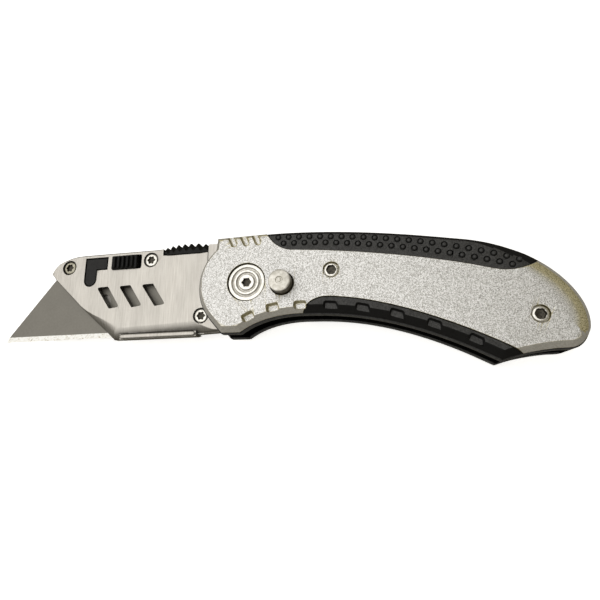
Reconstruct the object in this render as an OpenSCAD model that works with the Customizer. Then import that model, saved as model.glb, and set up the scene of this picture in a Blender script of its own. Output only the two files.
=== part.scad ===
// Folding utility knife with a button lock and a quick-change blade holder, shown open.
// It lies on its rear face (Z = 0). X runs along the blade's cutting edge with the tip at -X,
// +Y is towards the spine and +Z towards the front face. The origin is on the fold pivot's axis.

/* [Handle] */
// Thickness of the handle over both metal scales, mm
thickness = 14; // [13.6:0.1:14.4]
// Thickness of one metal scale, mm
scale_t = 2.2; // [2:0.1:2.4]
// Thickness of one dark liner, mm
liner_t = 2.1; // [2:0.1:2.2]
// How far a scale's front face lies inside its outline, mm
bevel = 1.3; // [0.8:0.1:1.6]
// Radius of the handle's nose round the pivot, mm
nose_r = 13.6; // [13.2:0.1:14]
// Height of the handle's flat spine above the pivot, mm
spine_y = 13.3; // [13:0.1:13.6]
// How far the grips stand back from the scale beside them, mm
grip_gap = 0.15; // [0.05:0.05:0.25]

/* [Blade holder] */
// Thickness of the holder over both plates, mm
holder_t = 4.8; // [4.6:0.1:4.8]
// Thickness of one holder plate, mm
plate_t = 2; // [1.8:0.1:2]
// Height of the holder's spine above the pivot, mm
holder_top = 12.6; // [12.4:0.1:12.8]
// Radius of the holder's concave rear edge round the pivot, mm
holder_rear_r = 12.7; // [12.6:0.1:13]
// Radius of the tang's eye round the pivot, mm
eye_r = 6; // [5:0.1:6.1]
// Number of teeth on the thumb ramp
ramp_teeth = 7; // [5:1:9]

/* [Blade] */
// Length of the blade's cutting edge, mm
blade_len = 61; // [60:0.5:62]
// Height of the blade, mm
blade_h = 19; // [18.5:0.25:19]
// Thickness of the blade, mm
blade_t = 0.6; // [0.5:0.05:0.65]
// Length of each slanted end along the cutting edge, mm
blade_slant = 15; // [14:0.1:15.2]

/* [Pivot, lock and release] */
// Radius of the pivot's decorative head, mm
pivot_head_r = 4.85; // [4.5:0.05:5]
// Radius of the pivot's barrel, mm
barrel_r = 2.5; // [2:0.1:2.6]
// Radius of the lock button, mm
button_r = 2.8; // [2.4:0.1:2.8]
// Travel of the lock button, mm
button_travel = 2; // [1:0.1:2]
// Travel of the blade release, mm
release_travel = 1; // [0.6:0.1:1]

/* [Hidden] */
// Heights of the layers, from the rear face up.
scale_z = thickness - scale_t;          // back of the front scale
liner_z = scale_z - liner_t;            // back of the front liner, the channel's front wall
channel_t = 2 * liner_z - thickness;    // width of the channel between the liners
channel_z = thickness - liner_z;        // front of the rear liner, the channel's back wall
holder_z = (thickness - holder_t) / 2;  // rear face of the holder
cover_z = holder_z + holder_t - plate_t; // back of the holder's cover plate
core_z = holder_z + plate_t;            // back of the thin core between the plates
holder_face = holder_z + holder_t;      // front face of the holder
core_t = cover_z - core_z;
side_gap = holder_z - channel_z;        // gap between the holder and each liner
// Small clearances.
slip = 0.05;                            // between pieces that run on each other
gap = 0.1;                              // between pieces that are only laid together
cut = 1;                                // how far a cutter runs past what it cuts
// Places in the plan, from the pivot.
button_at = [9.3, -1];
scale_screws_at = [[21.8, 1.7], [68.1, -11.9]];
holder_screws_at = [[-54.8, 9.2], [-29.3, 9.7], [-13.8, -7.1]];
rivets_at = [[4, 11.2], [36, 9], [62, 3.1], [76.4, -14]];
// Fasteners and the pivot.
rivet_r = 1;
screw_r = 1.2;
screw_grip = 1.4;                       // how far a screw reaches into the layer it holds
screw_head_r = 1.8;
screw_sink_r = screw_head_r + 0.25;     // sunk hole round a screw's head
screw_sink_d = 1.2;
socket_r = 0.95;
socket_d = 0.8;
pivot_sink = 0.35;                      // how far the pivot's front head lies below the scale's face
shank_r = 1.5;
shank_end = channel_z - 1.5;
washer_r = 5;
washer_t = side_gap - slip;
// Lock button and its spring, which stands in a well in the rear layers.
button_rise = 3;                        // how far the button stands out of the scale
button_rim = 0.4;                       // bevel on the button's top edge
button_hole_r = button_r + 0.25;
button_flange_r = 3.25;
button_flange_t = 0.6;
button_bore_r = 2;
button_bore_end = 9;
well_r = button_flange_r + 0.15;
well_floor = 0.7;
lock_foot_z = scale_t + 0.7;
lock_spring_r = 1.55;
lock_wire_r = 0.25;
lock_spring_len = 8.2;
lock_spring_turns = 6;
// Handle layers.
scale_step = 0.3;                       // how far the scales stand back from the liners
scale_wall = 0.2;                       // upright edge of a scale below its bevel
spacer_step = 0.6;                      // how far the spacer stands back along the spine
grip_face = thickness - 0.35;           // the grips' face, a little below the scale's
stud_r = 0.7;
stud_h = 0.35;
butt_x = 73.8;                          // where the spacer comes out flush with the handle's edge
butt_y = -14;
// Blade corners.
tip = [-74.6, -11.6];
blade_mid_x = tip.x + blade_len / 2;
blade_top = tip.y + blade_h;
blade_z = thickness / 2 - blade_t / 2;
blade_notch_x = 6.5;                    // each locating notch stands this far from the middle
blade_hole_r = 2.1;
blade_notch_r = 1.5;
blade_notch_d = 0.6;                    // depth of a notch's round end below the blade's back
blade_hole_up = 10.6;                   // height of the centre hole above the cutting edge
grind_h = 1.45;                         // height of the ground edge
grind_run = grind_h * blade_slant / blade_h;  // how far the slanted ends come in over that height
// Holder outline.
holder_nose = [-60.3, 7.6];
holder_low = [-38.8, -12.4];
rear_chamfer = [0.6, 1.8];              // width and height of the chamfer on the rear lower edge
// The lip closes the lower edge and hooks over the front of the blade's edge.
lip_x = [-37.3, -15.2];
lip_wall_y = tip.y - gap;
lip_hook_y = -11;
lip_hook_z = blade_z + blade_t + 0.15;
lip_top = 8.8;
cover_end_x = -12.3;
core_low = lip_wall_y + gap;
window = [[-45.3, 2.6], [-41, -3.7], [-38, -3.3], [-41.9, 2.7]];
window_pitch = 6.85;
window_count = 3;
ramp_x = [-25.6, -12.4];
ramp_foot_y = 10.8;
ramp_tooth_h = 0.6;
ramp_bulge = 0.75;                      // how far the middle teeth stand above the end ones
tang_top = holder_top + 0.3;
shoulder_x = -1.9;
// Blade release, in the holder's upper edge.
release_x = [-41.1, -33.3];
release_y = [7.6, 11.5];
release_top = holder_face + 1.2;
release_flange = 0.4;
release_flange_t = 0.7;
release_ribs = 5;
rib_pitch = 1.15;
rib_w = 0.7;
rib_h = 0.35;
pin_at = [-38.6, 10.2];
pin_r = 0.5;
pin_foot = 5.35;
pin_reach = 1.5;                        // how far the pin stands up into the slide
release_spring_r = 0.45;
release_wire_r = 0.12;
release_spring_len = 6;
release_spring_turns = 9;
catch_x = [-40.6, -34.6];
catch_y = [8.05, 11.1];
catch_t = 0.7;
catch_tooth_d = 0.8;
catch_tooth_w = 2.4;
guide_x = [-49.5, -42.8];
guide_y = [5, 8, 11.4];
guide_r = 1.75;                         // round end of the guide's foot
// The closed holder's tip passes inside this radius.
tip_sweep_r = norm(tip) + 0.45;

FRAGMENTS = 48;

// ---------- curves and outlines ----------

// Points of a cubic curve, without its last one.
function bezier(a, b, c, d, n = 6) = [
  for (i = [0 : n - 1])
    let (t = i / n, u = 1 - t)
      u * u * u * a + 3 * u * u * t * b + 3 * u * t * t * c + t * t * t * d
];

// Points of an arc about the pivot, with both ends.
function arc(r, from, to, n = 8) = [
  for (i = [0 : n])
    let (a = from + (to - from) * i / n)
      [r * cos(a), r * sin(a)]
];

// Unit normal on the left of the edge from a to b.
function left_normal(a, b) = [a.y - b.y, b.x - a.x] / norm(b - a);

// An anticlockwise outline moved inwards by d, or outwards where d is negative.
function inset(points, d) = [
  for (i = [0 : len(points) - 1])
    let (
      n = len(points),
      before = left_normal(points[(i + n - 1) % n], points[i]),
      after = left_normal(points[i], points[(i + 1) % n])
    )
      points[i] + d * (before + after) / (1 + before * after)
];

// The handle's outer outline, anticlockwise from the spine's front corner.
handle_outline = concat(
  [[-8.8, spine_y]],
  arc(nose_r, 132, 218, 10),
  [[-7, -12.8]],
  bezier([-1.9, -12.9], [2, -10.2], [7, -8.9], [13, -8.8]),
  bezier([13, -8.8], [20, -9], [35.5, -8.4], [59.5, -21.9], 10),
  bezier([59.5, -21.9], [63, -20.6], [69, -19.6], [74.2, -19.6], 5),
  bezier([74.2, -19.6], [76.4, -19.5], [78.4, -17], [78.5, -14], 5),
  bezier([78.5, -14], [78.9, -6], [69.8, 4.1], [56, 7.4], 10),
  bezier([56, 7.4], [42, 10.2], [26, spine_y - 0.3], [8, spine_y], 8),
  [[8, spine_y]]
);

// What the top grip takes out of the scale, anticlockwise; its upper side is outside the handle.
top_grip_region = concat(
  bezier([4.7, 14], [6, 10.6], [8.2, 8.3], [11.5, 7.7]),
  bezier([11.5, 7.7], [26, 6.6], [46, 3.4], [59, -0.6], 8),
  bezier([59, -0.6], [63, -1.9], [66.5, -1.3], [70.8, 1.3]),
  [[72, 2.4], [72, 18], [4, 18]]
);

// What the bottom grip takes out of the scale, anticlockwise.
bottom_grip_region = concat(
  [[13.9, -24], [65.6, -24], [64.4, -20.6]],
  bezier([60, -18.05], [48, -11.6], [33, -5.6], [20.2, -4.9], 10),
  bezier([20.2, -4.9], [17.2, -4.9], [14.4, -6.6], [13.9, -9.8])
);

// The space between the liners, cut out of the back spacer.
channel_region = concat(
  [[-1.5, -30], [90, -30], [tip_sweep_r * cos(-20), tip_sweep_r * sin(-20)]],
  arc(tip_sweep_r, -17, -6.2, 4),
  bezier([72, -4.6], [62, 0.2], [52, 5], [38, 7.4]),
  bezier([38, 7.4], [28, 9], [14, 9.8], [-1.5, 9.8], 5),
  [[-1.5, 9.8]]
);

// Blade outline, anticlockwise from the tip.
blade_outline = [
  tip,
  [tip.x + blade_len, tip.y],
  [tip.x + blade_len - blade_slant, blade_top],
  [tip.x + blade_slant, blade_top]
];

// Outline of the holder's plates, anticlockwise from the nose.
function plate_outline(low) = concat(
  [holder_nose, [-58.4, 5.4], [holder_low.x - 0.6, low]],
  [for (p = arc(holder_rear_r, 241, 193, 6)) if (p.y > low) p],
  [[-12.9, -2], [cover_end_x - 0.1, 2.6], [cover_end_x - 0.1, holder_top]],
  bezier([-50, holder_top], [-55, holder_top], [-59, 11.2], holder_nose)
);

// ---------- small helpers ----------

module plan(points, z0, z1) {
  translate([0, 0, z0])
    linear_extrude(z1 - z0)
      polygon(points);
}

module disc(at, r, z0, z1) {
  translate([at.x, at.y, z0])
    cylinder(r = r, h = z1 - z0, $fn = FRAGMENTS);
}

module block(x, y, z) {
  translate([x[0], y[0], z[0]])
    cube([x[1] - x[0], y[1] - y[0], z[1] - z[0]]);
}

// A plate with upright sides up to z1 and a bevel from there to its face at z2.
// Its sides run on past both faces, which are then cut flat.
module bevelled_plate(points, z0, z1, z2, d) {
  n = len(points);
  run_on = 1 + cut / (z2 - z1);
  top = inset(points, d * run_on);
  intersection() {
    polyhedron(
      points = concat(
        [for (p = points) [p.x, p.y, z0 - cut]],
        [for (p = points) [p.x, p.y, z1]],
        [for (p = top) [p.x, p.y, z2 + cut]]
      ),
      faces = concat(
        [[for (i = [0 : n - 1]) i]],
        [[for (i = [n - 1 : -1 : 0]) 2 * n + i]],
        [for (k = [0, n], i = [0 : n - 1])
          [k + i, k + n + i, k + n + (i + 1) % n, k + (i + 1) % n]]
      )
    );
    block([-100, 100], [-100, 100], [z0, z2]);
  }
}

// The same piece on the rear of the handle.
module rear() {
  translate([0, 0, thickness])
    mirror([0, 0, 1])
      children();
}

// A round-wire spring along +Z, closed at both ends of its one wire.
module coil(r, wire_r, length, turns) {
  steps = 12;
  sides = 6;
  n = ceil(turns * steps);
  ring = [for (k = [0 : sides - 1]) wire_r * [cos(360 * k / sides), sin(360 * k / sides)]];
  points = [
    for (i = [0 : n], p = ring)
      let (a = 360 * i / steps, q = r + p.x)
        [q * cos(a), q * sin(a), wire_r + (length - 2 * wire_r) * i / n + p.y]
  ];
  polyhedron(
    points = points,
    faces = concat(
      [[for (k = [0 : sides - 1]) k]],
      [[for (k = [sides - 1 : -1 : 0]) n * sides + k]],
      [for (i = [0 : n - 1], k = [0 : sides - 1])
        let (j = (k + 1) % sides)
          [i * sides + k, (i + 1) * sides + k, (i + 1) * sides + j, i * sides + j]]
    )
  );
}

// A six-lobed or six-sided driver socket, open upwards at z1.
module socket(at, r, z0, z1) {
  translate([at.x, at.y, z0])
    cylinder(r = r, h = z1 - z0 + cut, $fn = 6);
}

// A screw with a cylindrical head, driven from the front.
module screw(at, head_z, face_z, end_z) {
  difference() {
    union() {
      disc(at, screw_head_r, head_z, face_z);
      disc(at, screw_r, end_z, head_z);
    }
    socket(at, socket_r, face_z - socket_d, face_z);
  }
}

// ---------- handle: front side ----------

// The eight finger notches follow the handle's lower face edge: place and turn of each.
finger_notches = [
  [0.6, -9, 26], [6.9, -7, 10], [13.9, -6.8, 0],
  [21.2, -7.2, -6], [28.9, -8.2, -14], [36.9, -10.1, -20], [45.2, -13, -25], [54, -17, -29]
];
silver_notches = 3;
notch_size = [3.2, 2.2, 0.9];

// Three slanted thumb grooves run down from the bolster's top edge.
groove_x = [-4.2, -0.9, 2.3];
groove_size = [3.6, 1.2, 0.7];
groove_turn = -65;

module finger_notch(n) {
  translate([n[0], n[1], thickness - notch_size.z])
    rotate([0, 0, n[2]])
      translate([-notch_size.x / 2, -notch_size.y / 2, 0])
        cube([notch_size.x, notch_size.y, notch_size.z + cut]);
}

module thumb_grooves() {
  for (x = groove_x)
    translate([x, spine_y - groove_size.y, thickness - groove_size.z])
      rotate([0, 0, groove_turn])
        translate([-groove_size.x / 2, -groove_size.y / 2, 0])
          cube([groove_size.x, groove_size.y, groove_size.z + cut]);
}

// The bevelled metal and rubber front layer, before it is divided into scale and grips.
module face_layer() {
  bevelled_plate(inset(handle_outline, scale_step), scale_z, scale_z + scale_wall, thickness, bevel);
}

// A scale's plate, before the holes that differ between front and rear.
module scale_blank() {
  difference() {
    face_layer();
    plan(top_grip_region, scale_z - cut, thickness + cut);
    plan(bottom_grip_region, scale_z - cut, thickness + cut);
    disc([0, 0], pivot_head_r + gap, scale_z - cut, thickness + cut);
    for (i = [0 : silver_notches - 1])
      finger_notch(finger_notches[i]);
    thumb_grooves();
    for (p = scale_screws_at) {
      disc(p, screw_sink_r, thickness - screw_sink_d, thickness + cut);
      disc(p, screw_r + slip, scale_z - cut, thickness);
    }
  }
}

module front_scale() {
  color("silver")
    difference() {
      scale_blank();
      disc(button_at, button_hole_r, scale_z - cut, thickness + cut);
    }
}

module rear_scale() {
  color("silver")
    difference() {
      rear() scale_blank();
      disc(button_at, well_r, well_floor, scale_t + cut);
    }
}

module liner_blank() {
  difference() {
    plan(handle_outline, liner_z, scale_z);
    disc([0, 0], barrel_r, liner_z - cut, scale_z + cut);
    for (p = rivets_at)
      disc(p, rivet_r, liner_z - cut, scale_z + cut);
    for (p = scale_screws_at)
      disc(p, screw_r, scale_z - screw_grip - gap, scale_z + cut);
  }
}

module front_liner() {
  color("dimgray")
    difference() {
      liner_blank();
      disc(button_at, button_hole_r, liner_z - cut, scale_z + cut);
    }
}

module rear_liner() {
  color("dimgray")
    difference() {
      rear() liner_blank();
      disc(button_at, button_hole_r, scale_t - cut, channel_z + cut);
      disc(button_at, well_r, scale_t - cut, channel_z - 0.7);
    }
}

// A grip fills its region of the scale, with a small joint line round it.
module grip_blank(region) {
  intersection() {
    face_layer();
    plan(inset(region, grip_gap), scale_z - cut, grip_face);
  }
}

// Two staggered rows of round studs follow the top grip's curve.
stud_places = concat(
  bezier([8.4, 11.4], [28.3, 10.6], [48.2, 7.9], [68.1, 0.2], 22),
  bezier([9.8, 9.7], [28.7, 9.1], [47.5, 5.4], [66.4, -0.8], 21)
);

module grip_studs() {
  for (p = stud_places)
    translate([p.x, p.y, grip_face])
      cylinder(r1 = stud_r, r2 = 0.6 * stud_r, h = stud_h, $fn = 8);
}

module top_grip() {
  union() {
    grip_blank(top_grip_region);
    grip_studs();
  }
}

module bottom_grip() {
  difference() {
    grip_blank(bottom_grip_region);
    for (i = [silver_notches : len(finger_notches) - 1])
      finger_notch(finger_notches[i]);
  }
}

module front_top_grip() {
  color("black") top_grip();
}

module front_bottom_grip() {
  color("black") bottom_grip();
}

module rear_top_grip() {
  color("black") rear() top_grip();
}

module rear_bottom_grip() {
  color("black") rear() bottom_grip();
}

// ---------- handle: inside and fasteners ----------

// The spacer between the liners: along the spine and round the butt, where it comes out flush.
module back_spacer() {
  color("gray")
    difference() {
      union() {
        plan(inset(handle_outline, spacer_step), channel_z, liner_z);
        intersection() {
          plan(handle_outline, channel_z, liner_z);
          block([butt_x, 90], [-30, butt_y], [channel_z, liner_z]);
        }
      }
      plan(channel_region, channel_z - cut, liner_z + cut);
      block([-20, -1.5], [-30, 30], [channel_z - cut, liner_z + cut]);
      for (p = rivets_at)
        disc(p, rivet_r, channel_z - cut, liner_z + cut);
    }
}

module spacer_rivets() {
  color("lightgray")
    for (p = rivets_at)
      disc(p, rivet_r, scale_t, scale_z);
}

module handle_screws() {
  for (p = scale_screws_at)
    screw(p, thickness - screw_sink_d, thickness - gap, scale_z - screw_grip);
}

module front_scale_screws() {
  color("gainsboro") handle_screws();
}

module rear_scale_screws() {
  color("gainsboro") rear() handle_screws();
}

// The pivot's front half: a ringed decorative head with a hex socket, and its shank.
module ring_groove(r, z) {
  ring_w = 0.5;
  ring_d = 0.35;
  translate([0, 0, z - ring_d])
    difference() {
      cylinder(r = r + ring_w / 2, h = ring_d + cut, $fn = FRAGMENTS);
      cylinder(r = r - ring_w / 2, h = ring_d + cut, $fn = FRAGMENTS);
    }
}

module pivot_bolt() {
  top = thickness - pivot_sink;
  color("gainsboro")
    difference() {
      union() {
        disc([0, 0], pivot_head_r, scale_z, top);
        disc([0, 0], shank_r, shank_end, scale_z);
      }
      ring_groove(2.35, top);
      ring_groove(3.6, top);
      socket([0, 0], 1.15, top - 1.4, top);
    }
}

// The pivot's rear half: a plain head and the barrel that the tang turns on.
module pivot_nut() {
  color("gainsboro")
    difference() {
      union() {
        disc([0, 0], pivot_head_r, 0, scale_t);
        disc([0, 0], barrel_r, scale_t, scale_z);
      }
      disc([0, 0], shank_r, shank_end, scale_z + cut);
    }
}

module pivot_washers() {
  color("gold")
    for (z = [channel_z, liner_z - washer_t])
      difference() {
        disc([0, 0], washer_r, z, z + washer_t);
        disc([0, 0], barrel_r, z - cut, z + washer_t + cut);
      }
}

// ---------- lock ----------

// The button runs through the channel beside the tang's eye and is hollow for its spring.
module lock_button() {
  rim_z = thickness + button_rise - button_rim;
  color("gainsboro")
    difference() {
      union() {
        disc(button_at, button_r, lock_foot_z, rim_z);
        translate([button_at.x, button_at.y, rim_z])
          cylinder(r1 = button_r, r2 = button_r - button_rim, h = button_rim, $fn = FRAGMENTS);
        disc(button_at, button_flange_r, lock_foot_z, lock_foot_z + button_flange_t);
      }
      disc(button_at, button_bore_r, lock_foot_z - cut, button_bore_end);
    }
}

module lock_spring() {
  color("silver")
    translate([button_at.x, button_at.y, well_floor])
      coil(lock_spring_r, lock_wire_r, lock_spring_len, lock_spring_turns);
}

// ---------- blade holder ----------

module windows() {
  for (i = [0 : window_count - 1])
    translate([window_pitch * i, 0, 0])
      plan(window, 0, thickness);
}

// What the ramp takes out of the plates' upper rear corner.
module ramp_seat() {
  block([ramp_x[0], cover_end_x + 2], [ramp_foot_y, 20], [0, thickness]);
}

module holder_screw_holes(r, z0, z1) {
  for (p = holder_screws_at)
    disc(p, r, z0, z1);
}

// The rear plate, with the tang that turns on the pivot and the lip that closes the lower edge.
module holder_body() {
  color("lightgray")
    difference() {
      union() {
        difference() {
          plan(plate_outline(holder_low.y), holder_z, core_z);
          ramp_seat();
        }
        block(lip_x, [holder_low.y, lip_wall_y], [holder_z, lip_top]);
        block(lip_x, [holder_low.y, lip_hook_y], [lip_hook_z, lip_top]);
        tang();
      }
      rear_edge_cut();
      holder_screw_holes(screw_r, core_z - screw_grip - gap, holder_face + cut);
      disc([0, 0], barrel_r + slip, 0, thickness);
      spring_groove();
    }
}

// The chamfer along the rear plate's lower edge.
module rear_edge_cut() {
  y = holder_low.y;
  rotate([90, 0, 90])
    translate([0, 0, holder_low.x - 2])
      linear_extrude(40)
        polygon([
          [y - cut, holder_z - cut], [y + rear_chamfer.x, holder_z - cut], [y + rear_chamfer.x, holder_z],
          [y, holder_z + rear_chamfer.y], [y - cut, holder_z + rear_chamfer.y]
        ]);
}

// The tang: an eye round the pivot, joined to the plates at the upper left and cut square for a stop.
module tang() {
  difference() {
    union() {
      disc([0, 0], eye_r, holder_z, holder_face);
      plan(
        [[cover_end_x, 2.7], [-5.8, 1.4], [0, 0], [shoulder_x, 5], [shoulder_x, tang_top],
          [cover_end_x, tang_top]],
        holder_z, holder_face
      );
      block([-16, cover_end_x + slip], [2.7, ramp_foot_y - gap], [holder_z, core_z]);
    }
    block([-20, cover_end_x], [ramp_foot_y - gap, 20], [0, thickness]);
  }
}

// Room for the release spring and the pin's foot, in the rear plate's front face.
module spring_groove() {
  room = release_spring_r + release_wire_r + gap;
  block([pin_at.x - pin_r - gap, pin_at.x + pin_r + slip + release_spring_len + gap],
    [pin_at.y - room, pin_at.y + room], [pin_foot - gap, core_z + cut]);
}

// The thin core that spaces the plates round the blade and guides the catch.
module holder_core() {
  color("darkgray")
    difference() {
      plan(plate_outline(core_low), core_z, cover_z);
      plan(inset(blade_outline, -gap), 0, thickness);
      plan([[-80, blade_top + gap], [-80, -20], [-20, -20], [-38, blade_top + gap]], 0, thickness);
      block([catch_x[0] - gap, catch_x[1] + gap], [0, catch_y[1] + release_travel + gap], [0, thickness]);
      ramp_seat();
      block([-13.2, 0], [-20, 20], [0, thickness]);
      holder_screw_holes(screw_r + slip, 0, thickness);
    }
}

// The front plate, with its lower edge rolled in round the lip, windows and the release slot.
module holder_cover() {
  color("gainsboro")
    difference() {
      plan(plate_outline(holder_low.y), cover_z, holder_face);
      block([lip_x[0] - gap, lip_x[1] + gap], [-20, lip_hook_y + gap], [0, thickness]);
      windows();
      ramp_seat();
      lower_roll();
      plan(inset(guide_outline(), -gap), cover_z - cut, holder_face + cut);
      block([release_x[0] - gap, release_x[1] + release_travel + gap],
        [release_y[0] - gap, release_y[1] + gap], [0, thickness]);
      block([release_x[0] - release_flange - gap, release_x[1] + release_flange + release_travel + gap],
        [release_y[0] - release_flange - gap, release_y[1] + release_flange + gap],
        [0, cover_z + release_flange_t + gap]);
      holder_screw_holes(screw_r + slip, 0, thickness);
      holder_screw_holes(screw_sink_r, holder_face - screw_sink_d, thickness);
    }
}

// The cover's front lower-left corner and lower edge are cut away by two slanted planes.
module lower_roll() {
  corner_turn = 41.4;
  corner_fall = 38;
  edge_fall = 42;
  roll_w = 6;
  translate([-40.2, -11, holder_face])
    rotate([0, 0, -corner_turn])
      rotate([corner_fall, 0, 0])
        translate([-9, -roll_w, -gap])
          cube([22, roll_w, 4]);
  translate([-40, -10.4, holder_face])
    rotate([edge_fall, 0, 0])
      translate([0, -roll_w, 0])
        cube([40, roll_w, 4]);
}

module holder_screws() {
  color("gainsboro")
    for (p = holder_screws_at)
      screw(p, holder_face - screw_sink_d, holder_face - gap, core_z - screw_grip);
}

// How far the ramp's teeth stand above the holder's spine, before the tooth's own height.
function ramp_rise(x) = ramp_bulge * sin(180 * (x - ramp_x[0]) / (ramp_x[1] - ramp_x[0]));

// A saw-toothed ramp across the holder's spine. Each tooth is a step up, a flat and a slope down.
module thumb_ramp() {
  pitch = (ramp_x[1] - ramp_x[0]) / ramp_teeth;
  teeth = [
    for (i = [ramp_teeth - 1 : -1 : 0], share = [0.72, 0.35, 0])
      let (x = ramp_x[0] + (i + share) * pitch, up = share == 0 ? 0 : ramp_tooth_h)
        [x, holder_top + up + ramp_rise(x)]
  ];
  color([0.1, 0.1, 0.1])
    plan(
      concat([[ramp_x[0], ramp_foot_y], [ramp_x[1], ramp_foot_y], [ramp_x[1], holder_top]], teeth),
      holder_z, holder_face
    );
}

// ---------- blade and its quick release ----------

module blade() {
  color("slategray")
    difference() {
      union() {
        plan([
          [tip.x + grind_run, tip.y + grind_h], [tip.x + blade_len - grind_run, tip.y + grind_h],
          blade_outline[2], blade_outline[3]
        ], blade_z, blade_z + blade_t);
        ground_edge();
      }
      disc([blade_mid_x, tip.y + blade_hole_up], blade_hole_r, 0, thickness);
      for (side = [-1, 1])
        blade_notch(blade_mid_x + side * blade_notch_x);
    }
}

// The ground wedge below the blade's flat faces.
module ground_edge() {
  mid = blade_z + blade_t / 2;
  x0 = tip.x;
  x1 = tip.x + blade_len;
  y1 = tip.y + grind_h;
  polyhedron(
    points = [
      [x0, tip.y, mid], [x1, tip.y, mid],
      [x0 + grind_run, y1, blade_z], [x1 - grind_run, y1, blade_z],
      [x0 + grind_run, y1, blade_z + blade_t], [x1 - grind_run, y1, blade_z + blade_t]
    ],
    faces = [[0, 1, 3, 2], [0, 4, 5, 1], [2, 3, 5, 4], [0, 2, 4], [1, 5, 3]]
  );
}

module blade_notch(x) {
  y = blade_top - blade_notch_d;
  disc([x, y], blade_notch_r, 0, thickness);
  block([x - blade_notch_r, x + blade_notch_r], [y, blade_top + cut], [0, thickness]);
}

// The L-shaped plastic guide set flush in the cover, whose foot bears on the blade's face.
function guide_outline() = concat(
  [for (p = arc(guide_r, 180, 360, 10)) p + [guide_x[0] + guide_r, guide_y[0]]],
  [[guide_x[0] + 2 * guide_r, guide_y[1]], [guide_x[1], guide_y[1]],
    [guide_x[1], guide_y[2]], [guide_x[0], guide_y[2]]]
);

module blade_guide() {
  color([0.1, 0.1, 0.1])
    plan(guide_outline(), cover_z, holder_face);
}

// The steel catch: its tooth stands in the blade's rear notch and its slanted slot takes the pin.
module blade_catch() {
  x = blade_mid_x + blade_notch_x;
  play = (core_t - catch_t) / 2;
  z = [core_z + play, cover_z - play];
  color("gold")
    difference() {
      union() {
        block(catch_x, catch_y, z);
        block([x - catch_tooth_w / 2, x + catch_tooth_w / 2],
          [blade_top - catch_tooth_d, catch_y[0] + gap], z);
      }
      slanted_slot();
    }
}

// The slot falls at 45 degrees, so the catch lifts as far as the pin slides.
module slanted_slot() {
  r = pin_r + slip;
  reach = release_travel * sqrt(2);
  translate([pin_at.x, pin_at.y, 0])
    rotate([0, 0, -45]) {
      cylinder(r = r, h = thickness, $fn = FRAGMENTS);
      translate([reach, 0, 0])
        cylinder(r = r, h = thickness, $fn = FRAGMENTS);
      translate([0, -r, 0])
        cube([reach, 2 * r, thickness]);
    }
}

// The ribbed thumb slide, held under the cover by its flange.
module release_button() {
  first_rib = release_x[0] + 0.2;
  color([0.1, 0.1, 0.1])
    difference() {
      union() {
        block(release_x, release_y, [cover_z + slip, release_top - rib_h]);
        block([release_x[0] - release_flange, release_x[1] + release_flange],
          [release_y[0] - release_flange, release_y[1] + release_flange],
          [cover_z + slip, cover_z + release_flange_t]);
        for (i = [0 : release_ribs - 1])
          block([first_rib + i * rib_pitch, first_rib + i * rib_pitch + rib_w],
            release_y, [release_top - rib_h - slip, release_top]);
      }
      disc(pin_at, pin_r, 0, cover_z + pin_reach + gap);
    }
}

module release_pin() {
  color("silver")
    disc(pin_at, pin_r, pin_foot, cover_z + pin_reach);
}

module release_spring() {
  color("silver")
    translate([pin_at.x + pin_r + slip, pin_at.y, pin_foot + release_spring_r + release_wire_r])
      rotate([0, 90, 0])
        coil(release_spring_r, release_wire_r, release_spring_len, release_spring_turns);
}

// ---------- nodes ----------

front_scale();
rear_scale();
front_liner();
rear_liner();
front_top_grip();
front_bottom_grip();
rear_top_grip();
rear_bottom_grip();
back_spacer();
spacer_rivets();
front_scale_screws();
rear_scale_screws();
pivot_bolt();
pivot_nut();
pivot_washers();
lock_button();
lock_spring();
holder_body();
holder_core();
holder_cover();
holder_screws();
thumb_ramp();
blade();
blade_guide();
blade_catch();
release_button();
release_pin();
release_spring();
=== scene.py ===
import math

import bmesh
import bpy
from mathutils import Matrix, Vector


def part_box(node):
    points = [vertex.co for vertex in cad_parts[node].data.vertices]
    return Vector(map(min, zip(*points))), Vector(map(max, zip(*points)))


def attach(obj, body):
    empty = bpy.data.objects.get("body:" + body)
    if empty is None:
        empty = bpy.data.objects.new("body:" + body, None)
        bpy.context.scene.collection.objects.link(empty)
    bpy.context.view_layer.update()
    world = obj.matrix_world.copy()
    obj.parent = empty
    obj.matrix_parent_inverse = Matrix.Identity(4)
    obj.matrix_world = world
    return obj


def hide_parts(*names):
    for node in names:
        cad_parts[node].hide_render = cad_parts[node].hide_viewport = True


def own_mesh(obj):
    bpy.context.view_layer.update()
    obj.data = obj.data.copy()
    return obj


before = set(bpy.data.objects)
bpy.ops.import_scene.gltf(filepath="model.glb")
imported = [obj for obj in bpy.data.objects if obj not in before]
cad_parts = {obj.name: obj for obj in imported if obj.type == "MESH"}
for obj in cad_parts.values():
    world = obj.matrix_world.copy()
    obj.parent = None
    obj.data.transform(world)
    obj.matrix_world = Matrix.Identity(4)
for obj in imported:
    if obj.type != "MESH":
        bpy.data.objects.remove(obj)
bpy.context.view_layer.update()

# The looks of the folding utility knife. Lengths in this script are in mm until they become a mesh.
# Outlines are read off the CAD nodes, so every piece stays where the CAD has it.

MM = 0.001


# ---------- levels and places read from the CAD ----------

def low(node):
    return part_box(node)[0].z / MM


def high(node):
    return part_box(node)[1].z / MM


def low_y(node):
    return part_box(node)[0].y / MM


def middle(node):
    a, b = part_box(node)
    return Vector(((a.x + b.x) / 2 / MM, (a.y + b.y) / 2 / MM))


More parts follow.
